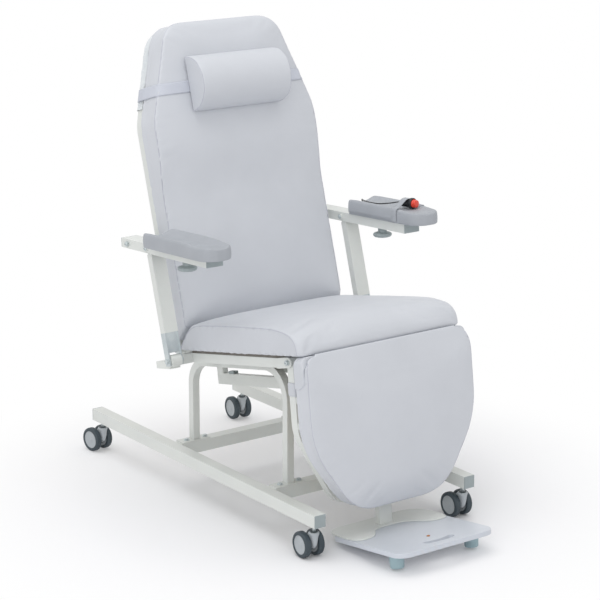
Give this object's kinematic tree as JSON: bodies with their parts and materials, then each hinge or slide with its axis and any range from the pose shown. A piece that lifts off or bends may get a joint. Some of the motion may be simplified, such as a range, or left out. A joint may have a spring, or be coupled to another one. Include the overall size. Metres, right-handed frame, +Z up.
{
  "type": "phlebotomy chair",
  "caption": "Reclining blood-draw chair on a wheeled base, with level armrests, a calf rest and a sliding footboard.",
  "frame": {"origin": "on the floor under the middle of the whole chair's box", "axes": "+X to the sitter's left, the sitter faces -Y, +Z up"},
  "size_m": [0.9185, 1.5774, 1.4943],
  "materials": {
    "frame_paint": "satin off-white powder coat",
    "vinyl": "lavender-grey vinyl upholstery, soft sheen",
    "cover_cloth": "white crinkled cover",
    "cap_plastic": "grey moulded plastic",
    "pad_foam": "grey self-skinned foam",
    "zinc": "zinc plated",
    "black_plastic": "black plastic",
    "red_plastic": "red-orange button",
    "tyre": "slate rubber",
    "caster_plastic": "light grey plastic",
    "board_plastic": "pale blue-grey moulded board",
    "plywood": "plywood",
    "strap_elastic": "lavender-grey band",
    "sleeve_cloth": "grey elastic sleeve"
  },
  "bodies": {
    "chair": {"base_rails": "frame_paint", "base_cross_members": "frame_paint", "rail_end_caps": "cap_plastic", "hoop_right": "frame_paint", "hoop_left": "frame_paint", "foot_plate_bolts": "zinc", "caster_stems": "zinc", "seat_rails": "frame_paint", "seat_cross_tubes": "frame_paint", "calf_hinge_ears": "frame_paint", "hinge_bolts": "zinc", "seat_board": "plywood", "seat_cushion": "vinyl"},
    "backrest": {"back_frame": "frame_paint", "back_lever_bar": "frame_paint", "arm_axles": "zinc", "back_board": "plywood", "back_cushion": "vinyl", "head_cover": "cover_cloth", "head_bolster": "vinyl", "bolster_strap": "strap_elastic"},
    "link": {"link_bars": "frame_paint", "link_stops": "black_plastic"},
    "calf_rest": {"calf_frame": "frame_paint", "calf_crossbar": "frame_paint", "calf_sleeves": "vinyl", "calf_board": "plywood", "calf_cushion": "vinyl"},
    "footrest": {"foot_post": "frame_paint", "foot_bracket": "frame_paint", "footboard": "board_plastic", "foot_pads": "cap_plastic"},
    "arm_right": {"arm_channel_right": "frame_paint", "arm_caps_right": "cap_plastic"},
    "pad_right": {"arm_pad_right": "pad_foam"},
    "knob_right": {"clamp_knob_right": "cap_plastic"},
    "post_right": {"arm_post_right": "frame_paint", "post_fork_right": "zinc"},
    "arm_left": {"arm_channel_left": "frame_paint", "arm_caps_left": "cap_plastic"},
    "pad_left": {"arm_pad_left": "pad_foam", "pad_sleeve": "sleeve_cloth", "handset": "black_plastic", "release_cable": "black_plastic"},
    "knob_left": {"clamp_knob_left": "cap_plastic"},
    "post_left": {"arm_post_left": "frame_paint", "post_fork_left": "zinc"},
    "button": {"handset_button": "red_plastic"},
    "caster_1": {"caster_housing_1": "caster_plastic"},
    "wheels_1": {"caster_tyres_1": "tyre", "caster_hubs_1": "caster_plastic"},
    "caster_2": {"caster_housing_2": "caster_plastic"},
    "wheels_2": {"caster_tyres_2": "tyre", "caster_hubs_2": "caster_plastic"},
    "caster_3": {"caster_housing_3": "caster_plastic"},
    "wheels_3": {"caster_tyres_3": "tyre", "caster_hubs_3": "caster_plastic"},
    "caster_4": {"caster_housing_4": "caster_plastic"},
    "wheels_4": {"caster_tyres_4": "tyre", "caster_hubs_4": "caster_plastic"}
  },
  "joints": [
    {"name": "back_recline", "type": "hinge", "parent": "chair", "child": "backrest", "pos_m": [0, 0.22275, 0.481], "axis": [-1, 0, 0], "range_deg": [0, 50]},
    {"name": "calf_raise", "type": "hinge", "parent": "chair", "child": "calf_rest", "pos_m": [0, -0.36942, 0.5801], "axis": [-1, 0, 0], "range_deg": [-1, 36]},
    {"name": "link_follow", "type": "hinge", "parent": "backrest", "child": "link", "pos_m": [0, 0.24947, 0.41222], "axis": [-1, 0, 0], "range_deg": [-51, 1]},
    {"name": "arm_level_right", "type": "hinge", "parent": "backrest", "child": "arm_right", "pos_m": [-0.382, 0.32528, 0.82713], "axis": [-1, 0, 0], "range_deg": [-51, 1]},
    {"name": "post_swing_right", "type": "hinge", "parent": "chair", "child": "post_right", "pos_m": [-0.382, 0.10995, 0.4877], "axis": [-1, 0, 0], "range_deg": [-1, 51]},
    {"name": "pad_swivel_right", "type": "hinge", "parent": "arm_right", "child": "pad_right", "pos_m": [-0.382, 0.0298, 0.84469], "axis": [0, 0.0593, 0.9982], "range_deg": [-8, 30]},
    {"name": "knob_turn_right", "type": "hinge", "parent": "arm_right", "child": "knob_right", "pos_m": [-0.382, 0.0298, 0.84469], "axis": [0, 0.0593, 0.9982], "continuous": true},
    {"name": "arm_level_left", "type": "hinge", "parent": "backrest", "child": "arm_left", "pos_m": [0.382, 0.32528, 0.82713], "axis": [-1, 0, 0], "range_deg": [-51, 1]},
    {"name": "post_swing_left", "type": "hinge", "parent": "chair", "child": "post_left", "pos_m": [0.382, 0.10995, 0.4877], "axis": [-1, 0, 0], "range_deg": [-1, 51]},
    {"name": "pad_swivel_left", "type": "hinge", "parent": "arm_left", "child": "pad_left", "pos_m": [0.382, 0.0298, 0.84469], "axis": [0, 0.0593, 0.9982], "range_deg": [-30, 8], "deforming": ["release_cable"]},
    {"name": "knob_turn_left", "type": "hinge", "parent": "arm_left", "child": "knob_left", "pos_m": [0.382, 0.0298, 0.84469], "axis": [0, 0.0593, 0.9982], "continuous": true},
    {"name": "footrest_slide", "type": "slide", "parent": "calf_rest", "child": "footrest", "axis": [0, 0.1305, 0.9914], "range_m": [0, 0.06]},
    {"name": "button_press", "type": "slide", "parent": "pad_left", "child": "button", "axis": [-0.2079, 0.9764, -0.058], "range_m": [0, 0.0025], "stiffness_N_per_m": 600},
    {"name": "caster_swivel_1", "type": "hinge", "parent": "chair", "child": "caster_1", "pos_m": [-0.291, -0.50575, 0.08], "axis": [0, 0, 1], "continuous": true},
    {"name": "wheel_spin_1", "type": "hinge", "parent": "caster_1", "child": "wheels_1", "pos_m": [-0.28948, -0.47679, 0.041], "axis": [0.9986, -0.0523, 0], "continuous": true},
    {"name": "caster_swivel_2", "type": "hinge", "parent": "chair", "child": "caster_2", "pos_m": [-0.291, 0.71325, 0.08], "axis": [0, 0, 1], "continuous": true},
    {"name": "wheel_spin_2", "type": "hinge", "parent": "caster_2", "child": "wheels_2", "pos_m": [-0.29504, 0.74197, 0.041], "axis": [0.9903, 0.1392, 0], "continuous": true},
    {"name": "caster_swivel_3", "type": "hinge", "parent": "chair", "child": "caster_3", "pos_m": [0.291, 0.71325, 0.08], "axis": [0, 0, 1], "continuous": true},
    {"name": "wheel_spin_3", "type": "hinge", "parent": "caster_3", "child": "wheels_3", "pos_m": [0.29302, 0.74218, 0.041], "axis": [0.9976, -0.0698, 0], "continuous": true},
    {"name": "caster_swivel_4", "type": "hinge", "parent": "chair", "child": "caster_4", "pos_m": [0.291, -0.50575, 0.08], "axis": [0, 0, 1], "continuous": true},
    {"name": "wheel_spin_4", "type": "hinge", "parent": "caster_4", "child": "wheels_4", "pos_m": [0.291, -0.47675, 0.041], "axis": [1, 0, 0], "continuous": true}
  ],
  "couplings": [
    {"joint": "calf_raise", "follows": "back_recline", "ratio": 0.7},
    {"joint": "link_follow", "follows": "back_recline", "ratio": -1},
    {"joint": "arm_level_right", "follows": "back_recline", "ratio": -1},
    {"joint": "post_swing_right", "follows": "back_recline", "ratio": 1},
    {"joint": "arm_level_left", "follows": "back_recline", "ratio": -1},
    {"joint": "post_swing_left", "follows": "back_recline", "ratio": 1}
  ]
}
